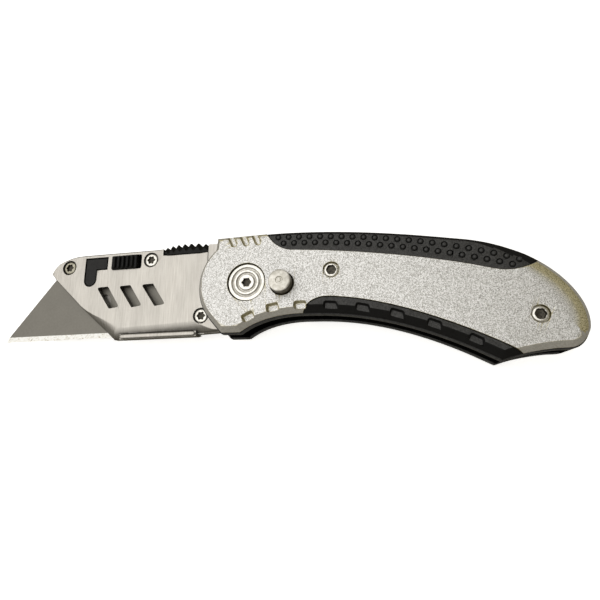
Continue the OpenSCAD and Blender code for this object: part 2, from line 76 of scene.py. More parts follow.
FACE = high("front_scale")
SCALE_BACK = low("front_scale")
LINER_BACK = low("front_liner")
GRIP_FACE = high("front_bottom_grip")
HOLDER_FACE = high("holder_cover")
COVER_BACK = low("holder_cover")
PAST = 1                         # how far a cutter reaches past what it cuts


# ---------- outlines ----------

def area(points):
    return sum(a.cross(b) for a, b in zip(points, points[1:] + points[:1])) / 2


def without_straight_points(points, tolerance=0.004):
    kept = []
    n = len(points)
    for i, p in enumerate(points):
        a, b = points[i - 1], points[(i + 1) % n]
        if abs((p - a).cross(b - a)) > tolerance * max((b - a).length, 0.01):
            kept.append(p)
    return kept


def section(node, z):
    """Closed outlines where a CAD node meets the level z: anticlockwise, largest first."""
    bm = bmesh.new()
    bm.from_mesh(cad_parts[node].data)
    bmesh.ops.remove_doubles(bm, verts=bm.verts, dist=1e-7)
    geometry = bm.verts[:] + bm.edges[:] + bm.faces[:]
    cut = bmesh.ops.bisect_plane(bm, geom=geometry, plane_co=(0, 0, z * MM), plane_no=(0, 0, 1))
    edges = {e for e in cut["geom_cut"] if isinstance(e, bmesh.types.BMEdge)}
    loops = []
    while edges:
        edge = edges.pop()
        loop = [edge.verts[0], edge.verts[1]]
        while loop[-1] is not loop[0]:
            following = next(e for e in loop[-1].link_edges if e in edges)
            edges.remove(following)
            loop.append(following.other_vert(loop[-1]))
        points = without_straight_points([v.co.xy / MM for v in loop[:-1]])
        points = points if area(points) > 0 else points[::-1]
        first = min(range(len(points)), key=lambda i: (round(points[i].x, 2), points[i].y))
        loops.append(points[first:] + points[:first])
    bm.free()
    return sorted(loops, key=area, reverse=True)


def smoothed(points, like=None, corner=24, step=0.7):
    """A ring with finer points on its curves; turns sharper than corner degrees stay sharp, and a
    long straight edge stays straight. Where the ring is another one moved in, like is that one, so
    that both get matching points."""
    straight_ratio = 3
    base = like or points
    n = len(points)
    after = [base[(i + 1) % n] - base[i] for i in range(n)]
    unit = [(points[(i + 1) % n] - points[i]).normalized() for i in range(n)]

    def tangents(i):
        if after[i - 1].angle(after[i]) > math.radians(corner):
            return unit[i - 1], unit[i]
        if after[i - 1].length > straight_ratio * after[i].length:
            return unit[i - 1], unit[i - 1]
        if after[i].length > straight_ratio * after[i - 1].length:
            return unit[i], unit[i]
        mean = (unit[i - 1] + unit[i]).normalized()
        return mean, mean

    out = []
    for i in range(n):
        a, b = points[i], points[(i + 1) % n]
        reach = (b - a).length
        ta = tangents(i)[1] * reach
        tb = tangents((i + 1) % n)[0] * reach
        count = max(1, round(after[i].length / step))
        for k in range(count):
            t = k / count
            h1, h2 = 2 * t**3 - 3 * t**2 + 1, t**3 - 2 * t**2 + t
            h3, h4 = -2 * t**3 + 3 * t**2, t**3 - t**2
            out.append(h1 * a + h2 * ta + h3 * b + h4 * tb)
    return out


def divided(points, longest):
    """The same outline with extra points on its long straight edges."""
    out = []
    for a, b in zip(points, points[1:] + points[:1]):
        count = max(1, math.ceil((b - a).length / longest))
        out += [a.lerp(b, k / count) for k in range(count)]
    return out


def normals(points):
    """Outward unit normal at each point of an anticlockwise outline, and its mitre length, which
    stays limited at sharp corners."""
    least_cosine = 0.35
    n = len(points)
    out = []
    for i in range(n):
        a = (points[i] - points[i - 1]).normalized()
        b = (points[(i + 1) % n] - points[i]).normalized()
        mean = Vector((a.y + b.y, -a.x - b.x))
        mean.normalize()
        out.append((mean, 1 / max(least_cosine, mean.dot(Vector((a.y, -a.x))))))
    return out


def moved_in(points, d):
    """The outline moved inwards by d, which is one number or one for each point."""
    distances = d if isinstance(d, list) else [d] * len(points)
    return [p - n * (m * k) for p, (n, m), k in zip(points, normals(points), distances)]


def round_corners(points, r, n=5):
    """A polygon with each corner replaced by an arc-like curve of about radius r, which takes at
    most its share of either edge."""
    share = 0.48
    least_tangent = 0.2
    out = []
    for i, p in enumerate(points):
        a = points[i - 1] - p
        b = points[(i + 1) % len(points)] - p
        tangent = max(least_tangent, math.tan(a.angle(b) / 2))
        reach = min(r / tangent, share * a.length, share * b.length)
        start, end = p + a.normalized() * reach, p + b.normalized() * reach
        for k in range(n + 1):
            t = k / n
            out.append((1 - t)**2 * start + 2 * t * (1 - t) * p + t * t * end)
    return out


def disc_outline(at, r, sides=40):
    turns = [2 * math.pi * k / sides for k in range(sides)]
    return [at + r * Vector((math.cos(a), math.sin(a))) for a in turns]


# ---------- meshes ----------

def add_object(name, bm):
    mesh = bpy.data.meshes.new(name)
    bm.to_mesh(mesh)
    bm.free()
    obj = bpy.data.objects.new(name, mesh)
    bpy.context.scene.collection.objects.link(obj)
    return obj


def skin(bm, rings):
    """Adds a closed solid through rings of 3-D points, lowest first."""
    rows = [[bm.verts.new(Vector(p) * MM) for p in ring] for ring in rings]
    n = len(rows[0])
    for below, above in zip(rows, rows[1:]):
        for i in range(n):
            j = (i + 1) % n
            bm.faces.new((below[i], below[j], above[j], above[i]))
    bm.faces.new(rows[0][::-1])
    bm.faces.new(rows[-1])


def at_level(points, z):
    return [(p.x, p.y, z) for p in points]


def solid(name, *ring_stacks):
    bm = bmesh.new()
    for rings in ring_stacks:
        skin(bm, rings)
    return add_object(name, bm)


def prism(name, points, z0, z1):
    return solid(name, [at_level(points, z0), at_level(points, z1)])


def bake(obj):
    """Makes an object's modifiers part of its mesh."""
    graph = bpy.context.evaluated_depsgraph_get()
    mesh = bpy.data.meshes.new_from_object(obj.evaluated_get(graph))
    obj.modifiers.clear()
    obj.data = mesh


def divide_wide_faces(obj):
    """Splits faces with many corners into triangles, so that they shade and cut cleanly."""
    most_corners = 8
    bm = bmesh.new()
    bm.from_mesh(obj.data)
    bmesh.ops.triangulate(bm, faces=[face for face in bm.faces if len(face.verts) > most_corners])
    bm.to_mesh(obj.data)
    bm.free()


def combine(obj, other, how):
    """Cuts, joins or trims obj with other, which is used up."""
    divide_wide_faces(obj)
    modifier = obj.modifiers.new("cut", "BOOLEAN")
    modifier.object = other
    modifier.operation = how
    modifier.solver = "EXACT"
    bake(obj)
    bpy.data.objects.remove(other)


def cut(obj, cutter):
    combine(obj, cutter, "DIFFERENCE")


def bore(obj, at, r, z0, z1, sides=40):
    """Cuts a round hole between two levels."""
    cut(obj, prism("hole", disc_outline(at, r, sides), z0, z1))


def soften(obj, width, angle=30, segments=2):
    """Rounds the edges sharper than an angle by a width in mm and shades the rest smooth."""
    speck = 0.01 * MM
    bm = bmesh.new()
    bm.from_mesh(obj.data)
    bmesh.ops.remove_doubles(bm, verts=bm.verts, dist=speck)
    bmesh.ops.dissolve_degenerate(bm, edges=bm.edges, dist=speck)
    bm.to_mesh(obj.data)
    bm.free()
    if width:
        modifier = obj.modifiers.new("edges", "BEVEL")
        modifier.width = width * MM
        modifier.segments = segments
        modifier.limit_method = "ANGLE"
        modifier.angle_limit = math.radians(angle)
        modifier.use_clamp_overlap = False
        bake(obj)
    divide_wide_faces(obj)
    for face in obj.data.polygons:
        face.use_smooth = True
    obj.data.set_sharp_from_angle(angle=math.radians(angle))
    weights = obj.modifiers.new("flat faces stay flat", "WEIGHTED_NORMAL")
    weights.keep_sharp = True


HEX = "hex"


def hexagon_radius(r, a):
    """How far a hexagon with corners at radius r reaches at angle a."""
    sixth = math.pi / 3
    return r * math.cos(sixth / 2) / math.cos(a % sixth - sixth / 2)


def turned(name, at, profile, sides=48, lobes=None):
    """A solid of revolution about an upright axis, from (radius, height) pairs, lowest first.
    lobes gives the depth of a six-lobed wave for each pair, or HEX for a six-sided ring."""
    rings = []
    for i, (r, z) in enumerate(profile):
        wave = lobes[i] if lobes else 0
        ring = []
        for k in range(sides):
            a = 2 * math.pi * k / sides
            q = hexagon_radius(r, a) if wave == HEX else r * (1 + wave * math.cos(6 * a))
            ring.append((at.x + q * math.cos(a), at.y + q * math.sin(a), z))
        rings.append(ring)
    return solid(name, rings)


def flip_to_rear(obj):
    """Moves a front piece's mesh to the same place on the rear of the handle."""
    obj.data.transform(Matrix.Translation((0, 0, FACE * MM)) @ Matrix.Scale(-1, 4, (0, 0, 1)))
    obj.data.flip_normals()


def dress(obj, body, slot, *materials, replaces=()):
    """Gives a piece its materials and body; its faces keep the material numbers they had. slot is not
    used.
    """
    numbers = [face.material_index for face in obj.data.polygons]
    obj.data.materials.clear()
    for material in materials:
        obj.data.materials.append(material)
    obj.data.polygons.foreach_set("material_index", numbers)
    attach(obj, body)
    if replaces:
        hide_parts(*replaces)
    return obj


def by_slope(obj, *limits):
    """Steep faces take a later material: limits are upright parts of the normal, steepest last."""
    for face in obj.data.polygons:
        face.material_index = sum(abs(face.normal.z) < limit for limit in limits)


def smoothstep(a, b, x):
    t = min(1, max(0, (x - a) / (b - a)))
    return t * t * (3 - 2 * t)


# ---------- materials ----------

def material(name, color, metallic, roughness):
    made = bpy.data.materials.new(name)
    made.use_nodes = True
    shader = made.node_tree.nodes["Principled BSDF"]
    shader.inputs["Base Color"].default_value = (*color, 1)
    shader.inputs["Metallic"].default_value = metallic
    shader.inputs["Roughness"].default_value = roughness
    return made


class Weave:
    """Adds procedural detail to a material; textures are measured in mm."""

    def __init__(self, made):
        self.tree = made.node_tree
        self.shader = self.tree.nodes["Principled BSDF"]
        self.place = self.node("ShaderNodeTexCoord").outputs["Object"]
        self.bump_from = None

    def node(self, kind, **settings):
        made = self.tree.nodes.new(kind)
        for key, value in settings.items():
            setattr(made, key, value)
        return made

    def stretched(self, x, y, z, turn=0):
        mapping = self.node("ShaderNodeMapping")
        mapping.inputs["Rotation"].default_value = (0, 0, math.radians(turn))
        mapping.inputs["Scale"].default_value = (x / MM, y / MM, z / MM)
        self.tree.links.new(self.place, mapping.inputs["Vector"])
        return mapping.outputs["Vector"]

    def noise(self, x, y=None, z=None, detail=2, turn=0, distortion=0):
        noise = self.node("ShaderNodeTexNoise")
        noise.inputs["Scale"].default_value = 1
        noise.inputs["Detail"].default_value = detail
        noise.inputs["Distortion"].default_value = distortion
        vector = self.stretched(x, y or x, z or x, turn)
        self.tree.links.new(vector, noise.inputs["Vector"])
        return noise.outputs["Fac"]

    def uprightness(self):
        """How far the surface faces the knife's front or rear: 1 on the flat faces, 0 on upright walls."""
        parts = self.node("ShaderNodeSeparateXYZ")
        self.tree.links.new(self.node("ShaderNodeTexCoord").outputs["Normal"], parts.inputs["Vector"])
        size = self.node("ShaderNodeMath", operation="ABSOLUTE")
        self.tree.links.new(parts.outputs["Z"], size.inputs[0])
        return size.outputs["Value"]

    def cells(self, scale):
        cells = self.node("ShaderNodeTexVoronoi")
        cells.inputs["Scale"].default_value = 1
        self.tree.links.new(self.stretched(scale, scale, scale), cells.inputs["Vector"])
        return cells.outputs["Distance"]

    def ramp(self, source, *stops):
        """stops are (position, colour or grey) pairs."""
        ramp = self.node("ShaderNodeValToRGB")
        elements = ramp.color_ramp.elements
        while len(elements) < len(stops):
            elements.new(0.5)
        for element, (position, value) in zip(elements, stops):
            element.position = position
            element.color = (*value, 1) if isinstance(value, tuple) else (value, value, value, 1)
        self.tree.links.new(source, ramp.inputs["Fac"])
        return ramp.outputs["Color"]

    def mix(self, first, second, share=0.5, how="MIX"):
        mix = self.node("ShaderNodeMix", data_type="RGBA", blend_type=how)
        mix.inputs["Factor"].default_value = share
        self.tree.links.new(first, mix.inputs["A"])
        self.tree.links.new(second, mix.inputs["B"])
        return mix.outputs["Result"]

    def into(self, socket, source):
        self.tree.links.new(source, self.shader.inputs[socket])

    def bump(self, source, depth, strength=1.0):
        bump = self.node("ShaderNodeBump")
        bump.inputs["Strength"].default_value = strength
        bump.inputs["Distance"].default_value = depth * MM
        self.tree.links.new(source, bump.inputs["Height"])
        if self.bump_from:
            self.tree.links.new(self.bump_from, bump.inputs["Normal"])
        self.bump_from = bump.outputs["Normal"]
        self.into("Normal", self.bump_from)


def speckled(name, tones, metallic, roughness, grain, depth, gloss=0.5, slope_shade=1.0):
    """A plain finish with fine grain. tones are the dark and light ends of its colour, roughness its
    two ends, grain the scale of its noise and depth its relief. The colour of slopes is multiplied by
    the slope factor, which paints shade on them."""
    made = material(name, tones[1], metallic, sum(roughness) / 2)
    w = Weave(made)
    w.shader.inputs["Specular IOR Level"].default_value = gloss
    fine = w.noise(*grain, detail=3)
    tone = w.ramp(fine, (0.32, tones[0]), (0.68, tones[1]))
    # Painted shade: slopes are darkened by the slope factor.
    if slope_shade != 1.0:
        tone = w.mix(tone, w.ramp(w.uprightness(), (0.7, slope_shade), (0.98, 1.0)), 1, "MULTIPLY")
    w.into("Base Color", tone)
    w.into("Roughness", w.ramp(w.noise(0.9, detail=2), (0.3, roughness[0]), (0.7, roughness[1])))
    w.bump(fine, depth, 0.6)
    return made


def cast_silver():
    """A sparkling silver layer on cast metal: pale grains with darker pits between them. Where the
    casting rounds off, its colour turns a darker olive: painted reflection and painted shade."""
    pit, body, sparkle = (0.31, 0.30, 0.28), (0.625, 0.62, 0.605), (0.85, 0.845, 0.845)
    # olive and pale_olive are painted reflection and shade for the roundings.
    olive, pale_olive = (0.62, 0.54, 0.27), (0.84, 0.77, 0.50)
    made = material("cast_silver", (0.72, 0.71, 0.68), 0.55, 0.42)
    w = Weave(made)
    grain = w.noise(4.6, detail=3)
    fine = w.ramp(grain, (0.36, pit), (0.5, body), (0.62, sparkle))
    # Painted reflection and shade: roundings are tinted a darker olive by how far they turn from the face.
    painted_rounding_tint = w.ramp(w.uprightness(), (0.6, olive), (0.975, pale_olive), (0.998, 1.0))
    w.into("Base Color", w.mix(fine, painted_rounding_tint, 1, "MULTIPLY"))
    w.into("Roughness", w.ramp(w.noise(4, detail=1), (0.35, 0.34), (0.65, 0.6)))
    w.bump(grain, 0.06, 0.6)
    return made


def brushed_steel():
    """Stainless brushed across the holder, with cloudy wear and a few slanted scratches. Its edges
    are painted darker than its faces: painted shade on the rolled and bevelled edges."""
    dark, pale = (0.43, 0.407, 0.372), (0.58, 0.556, 0.517)
    made = material("brushed_steel", (0.6, 0.57, 0.52), 0.8, 0.38)
    w = Weave(made)
    streaks = w.noise(3.2, 0.2, 1, detail=4)
    broad = w.noise(0.25, 0.08, 0.2, detail=3)
    scratch = w.ramp(w.noise(0.35, 9, 1, detail=1, turn=38, distortion=0.4), (0.66, 0.0), (0.74, 1.0))
    fine = w.ramp(streaks, (0.3, dark), (0.7, pale))
    cloud = w.ramp(broad, (0.3, 0.86), (0.7, 1.0))
    toned = w.mix(fine, cloud, 1, "MULTIPLY")
    # Painted shade: faces that turn away from the front, such as the rolled lower edge, are darkened.
    edge = w.ramp(w.uprightness(), (0.5, 0.25), (0.9, 0.55), (0.99, 1.0))
    scratched = w.mix(toned, scratch, 0.06, "SCREEN")
    w.into("Base Color", w.mix(scratched, edge, 1, "MULTIPLY"))
    w.into("Roughness", w.ramp(streaks, (0.25, 0.32), (0.75, 0.5)))
    w.bump(streaks, 0.01, 0.4)
    return made


def blade_grey():
    """Hardened strip steel: an even warm grey with a soft mottle and rare dark specks."""
    dark, pale = (0.17, 0.160, 0.138), (0.21, 0.200, 0.176)
    made = material("blade_grey", (0.2, 0.19, 0.165), 0.5, 0.5)
    w = Weave(made)
    fine = w.noise(1.6, detail=4)
    tone = w.ramp(fine, (0.3, dark), (0.7, pale))
    broad = w.ramp(w.noise(0.18, detail=2), (0.3, 0.93), (0.7, 1.0))
    spots = w.ramp(w.cells(0.14), (0.0, 0.5), (0.035, 1.0))
    w.into("Base Color", w.mix(w.mix(tone, broad, 1, "MULTIPLY"), spots, 1, "MULTIPLY"))
    w.into("Roughness", w.ramp(fine, (0.3, 0.42), (0.7, 0.58)))
    w.bump(fine, 0.01, 0.3)
    return made


def ground_edge():
    """The freshly ground strip: nearly white, with grinding marks across it."""
    mark, ground, bright = (0.50, 0.46, 0.39), (0.90, 0.89, 0.85), (1.0, 1.0, 0.99)
    made = material("ground_edge", (0.9, 0.89, 0.86), 0.2, 0.5)
    w = Weave(made)
    marks = w.noise(0.8, 1.6, 1, detail=5, distortion=1.5)
    w.into("Base Color", w.ramp(marks, (0.3, mark), (0.44, ground), (0.6, bright)))
    w.into("Roughness", w.ramp(marks, (0.3, 0.4), (0.7, 0.6)))
    w.bump(marks, 0.04, 0.5)
    return made


def greys(dark, pale):
    return (dark, dark, dark), (pale, pale, pale)


SILVER = cast_silver()
HOLDER_STEEL = brushed_steel()
BLADE_GREY = blade_grey()
EDGE_STEEL = ground_edge()

# A darker copy of the silver for the scale's bevels: painted shade.
SILVER_BEVEL_SHADE = speckled(
    "silver_bevel_shade", ((0.40, 0.385, 0.355), (0.54, 0.525, 0.49)),
    metallic=0.5, roughness=(0.4, 0.55), grain=(2.6,), depth=0.03)
# A dark olive copy of the silver for the scale's walls and recesses: painted shade and painted reflection.
CAST_WALL_SHADE = speckled(
    "cast_wall_shade", ((0.30, 0.27, 0.16), (0.52, 0.48, 0.33)),
    metallic=1, roughness=(0.3, 0.42), grain=(2.6,), depth=0.03)
RUBBER_GRAIN = speckled(
    "rubber_grain", ((0.004, 0.004, 0.004), (0.04, 0.039, 0.037)),
    metallic=0, roughness=(0.42, 0.6), grain=(3.4,), depth=0.3)
RUBBER_SMOOTH = speckled(
    "rubber_smooth", greys(0.004, 0.008),
    metallic=0, roughness=(0.4, 0.6), grain=(6,), depth=0.01, gloss=0.15)
STUD_RUBBER = speckled(
    "stud_rubber", greys(0.014, 0.045),
    metallic=0, roughness=(0.45, 0.6), grain=(5,), depth=0.02, gloss=0.4)
BLACK_PLASTIC = speckled(
    "ribbed_plastic", greys(0.003, 0.007),
    metallic=0, roughness=(0.35, 0.5), grain=(5,), depth=0.02, gloss=0.15)
GUIDE_PLASTIC = speckled(
    "guide_plastic", greys(0.016, 0.026),
    metallic=0, roughness=(0.5, 0.6), grain=(4,), depth=0.02, gloss=0.15)
LINER_EDGE = speckled(
    "liner_edge", greys(0.03, 0.05),
    metallic=0, roughness=(0.4, 0.6), grain=(2.5, 0.6, 0.6), depth=0.01, gloss=0.1)
# A near-black copy of the liner's material for its flat faces: painted shade inside the channel.
LINER_FACE_SHADE = speckled(
    "liner_face_shade", greys(0.002, 0.004),
    metallic=0, roughness=(0.5, 0.6), grain=(2.5, 0.6, 0.6), depth=0.01, gloss=0)
SPACER_GREY = speckled(
    "spacer_grey", greys(0.003, 0.006),
    metallic=0, roughness=(0.4, 0.6), grain=(3,), depth=0.01, gloss=0)
SCREW_STEEL = speckled(
    "screw_steel", ((0.62, 0.60, 0.55), (0.84, 0.82, 0.77)),
    metallic=0.8, roughness=(0.28, 0.42), grain=(2.2,), depth=0.01)
# Near-black steel for the insides of sockets: painted shade.
SOCKET_SHADE = speckled(
    "socket_shade", ((0.02, 0.018, 0.014), (0.09, 0.08, 0.06)),
    metallic=0.6, roughness=(0.35, 0.5), grain=(2.5,), depth=0.01)
# The slope factor paints shade into the pivot's ring grooves and chamfers.
POLISHED = speckled(
    "polished_rings", ((0.70, 0.68, 0.63), (0.88, 0.86, 0.81)),
    metallic=0.7, roughness=(0.26, 0.36), grain=(1.6,), depth=0.008, slope_shade=0.6)
TURNED_STEEL = speckled(
    "turned_steel", ((0.44, 0.42, 0.37), (0.68, 0.66, 0.61)),
    metallic=0.7, roughness=(0.3, 0.42), grain=(1.1,), depth=0.02)
OLIVE_STEEL = speckled(
    "olive_steel", ((0.24, 0.225, 0.17), (0.40, 0.38, 0.31)),
    metallic=0.8, roughness=(0.3, 0.42), grain=(2.2,), depth=0.01)
# A darker steel for the lock button's sides: painted shade.
BUTTON_SIDE_SHADE = speckled(
    "button_side_shade", ((0.06, 0.05, 0.034), (0.12, 0.10, 0.07)),
    metallic=0.6, roughness=(0.35, 0.5), grain=(2,), depth=0.01)
WIRE = speckled(
    "wire_steel", ((0.38, 0.38, 0.37), (0.56, 0.56, 0.55)),
    metallic=0.9, roughness=(0.25, 0.4), grain=(6,), depth=0.005)
BRONZE = speckled(
    "bronze", ((0.5, 0.34, 0.16), (0.68, 0.48, 0.25)),
    metallic=0.9, roughness=(0.3, 0.5), grain=(2,), depth=0.006)


# ---------- handle ----------

RIM = section("front_liner", (LINER_BACK + SCALE_BACK) / 2)[0]
TOP_GRIP = smoothed(section("front_top_grip", SCALE_BACK + 0.1)[0])
BOTTOM_GRIP = smoothed(section("front_bottom_grip", SCALE_BACK + 0.1)[0])
GRIP_PLAY = 0.12

SCALE_BEVEL = 1.3
GRIP_BEVEL = 2.0
BEVEL_FOOT = 0.2                 # upright wall that is left below an edge
SCALE_STEP = 0.3                 # how far a face layer stands back from the liner
GRIP_STEP = 0.1
SPINE_ROUNDING = 1.2
BUTT_ROUNDING = 4.3              # how much wider the rounding gets round the butt
ROUNDING_DEPTH = 1.9
BUTT_X = (55, 74)                # the butt's rounding grows from the first place to the second
BUTT_Y = (-22, -12)

SCREW_PLACES = [Vector((21.8, 1.7)), Vector((68.1, -11.9))]
SCREW_SINK_R = 2.08
SCREW_SINK = 1.2
PIVOT = Vector((0, 0))
PIVOT_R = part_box("pivot_bolt")[1].x / MM
PIVOT_PLAY = 0.2
BARREL_R = 2.5
BUTTON = middle("lock_button")
BUTTON_R = 2.8
BUTTON_PLAY = 0.3
LINER_PLAY = 0.15
FLANGE_R = 3.25

# The rear scale and liner have a well, where the button's flange stands when it is pressed.
WELL_R = FLANGE_R + LINER_PLAY
WELL_FLOOR = low("lock_spring")
WELL_LEDGE = 0.7

# Place and turn of each finger notch along the lower face edge: three in metal, five in rubber.
FINGER_NOTCHES = [
    (0.6, -9.0, 26), (6.9, -7.0, 10), (13.9, -6.8, 0),
    (21.2, -7.2, -6), (28.9, -8.2, -14), (36.9, -10.1, -20), (45.2, -13.0, -25), (54.0, -17.0, -29),
]
SILVER_NOTCHES = 3
NOTCH_LEFT, NOTCH_RIGHT, NOTCH_RIGHT_HEAD = -1.65, 1.65, 1.5
NOTCH_FOOT, NOTCH_HEAD = -1.15, 1.05
NOTCH_CORNER_R = 0.75

GROOVE_X = (-3.45, -0.15, 3.05)
GROOVE_FOOT_Y = 10.5
GROOVE_LENGTH = 5
GROOVE_TURN = math.radians(114)
GROOVE_PROFILE = ((0.4, -1.0), (0.6, -0.9), (0.9, -0.1), (0.94, 1))     # half width and height

# The ends and handles of the curves that the two rows of studs follow, and the studs in each.
STUD_ROWS = [
    ((8.4, 11.4), (28.3, 10.6), (48.2, 7.9), (68.1, 0.2), 22),
    ((9.8, 9.7), (28.7, 9.1), (47.5, 5.4), (66.4, -0.8), 21),
]
STUD_PROFILE = [(0.5, -0.4), (0.5, 0.1), (0.46, 0.2), (0.36, 0.29), (0.2, 0.34), (0.05, 0.35)]
DIMPLE_PROFILE = [(0.55, -0.3), (0.74, -0.2), (0.8, 0.5)]

# A face counts as flat, as a bevel or as a wall by the upright part of its normal.
FLAT_LIMIT = 0.97
BEVEL_LIMIT = 0.85
WALL_LIMIT = 0.5


def spine_side(normal):
    """0 on the handle's nose and lower edge, 1 on its spine and butt."""
    return smoothstep(-0.15, 0.45, 0.8 * normal.x + normal.y)


def edge_rings(outline, edges, top, back, steps=8):
    """Rings of a plate whose top edge is cut or rounded. edges gives, for each point of the outline,
    the width and depth of its edge and its softness: 0 is a straight bevel, 1 a quarter round."""
    rings = [smoothed([Vector((p.x, p.y, back)) for p in outline], like=outline)]
    for k in range(steps + 1):
        t = k / steps
        inward = [w * ((1 - s) * t + s * (1 - math.cos(t * math.pi / 2))) for w, d, s in edges]
        lift = [d * ((1 - s) * t + s * math.sin(t * math.pi / 2)) - d for w, d, s in edges]
        ring = [Vector((p.x, p.y, top + z)) for p, z in zip(moved_in(outline, inward), lift)]
        rings.append(smoothed(ring, like=outline))
    return rings


def face_blank(name, top, back, bevel=SCALE_BEVEL, step=SCALE_STEP):
    """The handle's front layer: a crisp bevel below, a soft rounding along the spine and butt. It
    stands back from the liner by step below and by SCALE_STEP along the spine."""
    soft = [spine_side(n) for n, _ in normals(RIM)]
    butt = [s * smoothstep(*BUTT_X, p.x) * smoothstep(*BUTT_Y, p.y) for s, p in zip(soft, RIM)]
    outer = moved_in(RIM, [step * (1 - s) + SCALE_STEP * (s - b) for s, b in zip(soft, butt)])
    deep = top - back - BEVEL_FOOT
    round_depth = min(ROUNDING_DEPTH, deep)
    edges = [
        (bevel * (1 - s) + SPINE_ROUNDING * s + BUTT_ROUNDING * b, deep * (1 - s) + round_depth * s, s)
        for s, b in zip(soft, butt)
    ]
    return solid(name, edge_rings(outer, edges, top, back))


def notch_cutter(x, y, turn, slant, depth, top):
    """A rounded pocket, whose right side leans out by slant at its foot."""
    corners = [
        (NOTCH_LEFT, NOTCH_FOOT), (NOTCH_RIGHT + slant, NOTCH_FOOT),
        (NOTCH_RIGHT_HEAD, NOTCH_HEAD), (NOTCH_LEFT, NOTCH_HEAD),
    ]
    spin = Matrix.Rotation(math.radians(turn), 2)
    outline = round_corners([Vector((x, y)) + spin @ Vector(c) for c in corners], NOTCH_CORNER_R)
    profile = [(0.4, -depth), (0.28, 0.1 - depth), (0.06, -0.12), (0, -0.05), (0, PAST)]
    return solid("notch", [at_level(moved_in(outline, inset), top + z) for inset, z in profile])


def groove_cutter(x):
    """A slanted round-ended groove that runs down from the bolster's top edge."""
    along = Vector((math.cos(GROOVE_TURN), math.sin(GROOVE_TURN)))
    across = Vector((-along.y, along.x))
    foot = Vector((x, GROOVE_FOOT_Y))
    head = foot + GROOVE_LENGTH * along
    arc = []
    for k in range(13):
        a = math.pi * k / 12
        arc.append(across * math.cos(a) - along * math.sin(a))

    def outline(r):
        return [foot + r * a for a in arc] + [head - across * r, head + across * r]

    return solid("groove", [at_level(outline(r), FACE + z) for r, z in GROOVE_PROFILE])


def scale_piece(name, has_button):
    """The metal casting, open for the grips, the pivot, the button and the screw heads."""
    scale = face_blank(name, FACE, SCALE_BACK)
    for region in (TOP_GRIP, BOTTOM_GRIP):
        cut(scale, prism("region", moved_in(region, -GRIP_PLAY), SCALE_BACK - PAST, FACE + PAST))
    bore(scale, PIVOT, PIVOT_R + PIVOT_PLAY, SCALE_BACK - PAST, FACE + PAST, 64)
    if has_button:
        bore(scale, BUTTON, BUTTON_R + BUTTON_PLAY, SCALE_BACK - PAST, FACE + PAST, 64)
    else:
        bore(scale, BUTTON, WELL_R, SCALE_BACK - PAST, FACE - WELL_FLOOR, 64)
    for p in SCREW_PLACES:
        bore(scale, p, SCREW_SINK_R, FACE - SCREW_SINK, FACE + PAST)
    for x, y, turn in FINGER_NOTCHES[:SILVER_NOTCHES]:
        cut(scale, notch_cutter(x, y, turn, slant=0, depth=1.3, top=FACE))
    for x in GROOVE_X:
        cut(scale, groove_cutter(x))
    soften(scale, 0.07)
    return scale


def cubic(a, b, c, d, t):
    """The point at t on the curve from a to d with the handles b and c."""
    u = 1 - t
    return u**3 * Vector(a) + 3 * u * u * t * Vector(b) + 3 * u * t * t * Vector(c) + t**3 * Vector(d)


def round_stacks(name, profile, sides=16):
    """The same turned shape at every stud's place; heights are measured from the grip's face."""
    places = [cubic(a, b, c, d, i / n) for a, b, c, d, n in STUD_ROWS for i in range(n)]
    return solid(name, *[
        [at_level(disc_outline(p, r, sides), GRIP_FACE + z) for r, z in profile] for p in places
    ])


def top_grip_piece(name):
    """The rubber along the spine, with a dimple for each stud."""
    grip = face_blank(name, GRIP_FACE, SCALE_BACK)
    combine(grip, prism("region", TOP_GRIP, SCALE_BACK - PAST, FACE), "INTERSECT")
    cut(grip, round_stacks("dimples", DIMPLE_PROFILE))
    soften(grip, 0.05)
    grain_the_face(grip)
    return grip


def studs_piece(name):
    """Domed studs, each standing in its own dimple."""
    studs = round_stacks(name, STUD_PROFILE)
    soften(studs, 0, angle=50)
    return studs


def bottom_grip_piece(name):
    """The rubber along the lower edge, with its finger notches."""
    grip = face_blank(name, GRIP_FACE, SCALE_BACK, GRIP_BEVEL, GRIP_STEP)
    combine(grip, prism("region", BOTTOM_GRIP, SCALE_BACK - PAST, FACE), "INTERSECT")
    for x, y, turn in FINGER_NOTCHES[SILVER_NOTCHES:]:
        cut(grip, notch_cutter(x, y, turn, slant=1.0, depth=0.8, top=GRIP_FACE))
    soften(grip, 0.05)
    grain_the_face(grip)
    return grip


def grain_the_face(grip):
    """The grip's flat face and pocket floors take the second, grained material."""
    for face in grip.data.polygons:
        face.material_index = int(abs(face.normal.z) > FLAT_LIMIT)


def liner_piece(name, has_well):
    """The dark frame plate under the scale. Its flat faces are painted blacker than its edge: painted
    shade inside the channel.
    """
    liner = prism(name, smoothed(RIM), LINER_BACK, SCALE_BACK)
    bore(liner, PIVOT, BARREL_R, LINER_BACK - PAST, SCALE_BACK + PAST)
    bore(liner, BUTTON, BUTTON_R + LINER_PLAY, LINER_BACK - PAST, SCALE_BACK + PAST)
    if has_well:
        bore(liner, BUTTON, WELL_R, LINER_BACK + WELL_LEDGE, SCALE_BACK + PAST)
    soften(liner, 0.3)
    # Flat faces take the near-black material: painted shade.
    by_slope(liner, FLAT_LIMIT)
    return liner


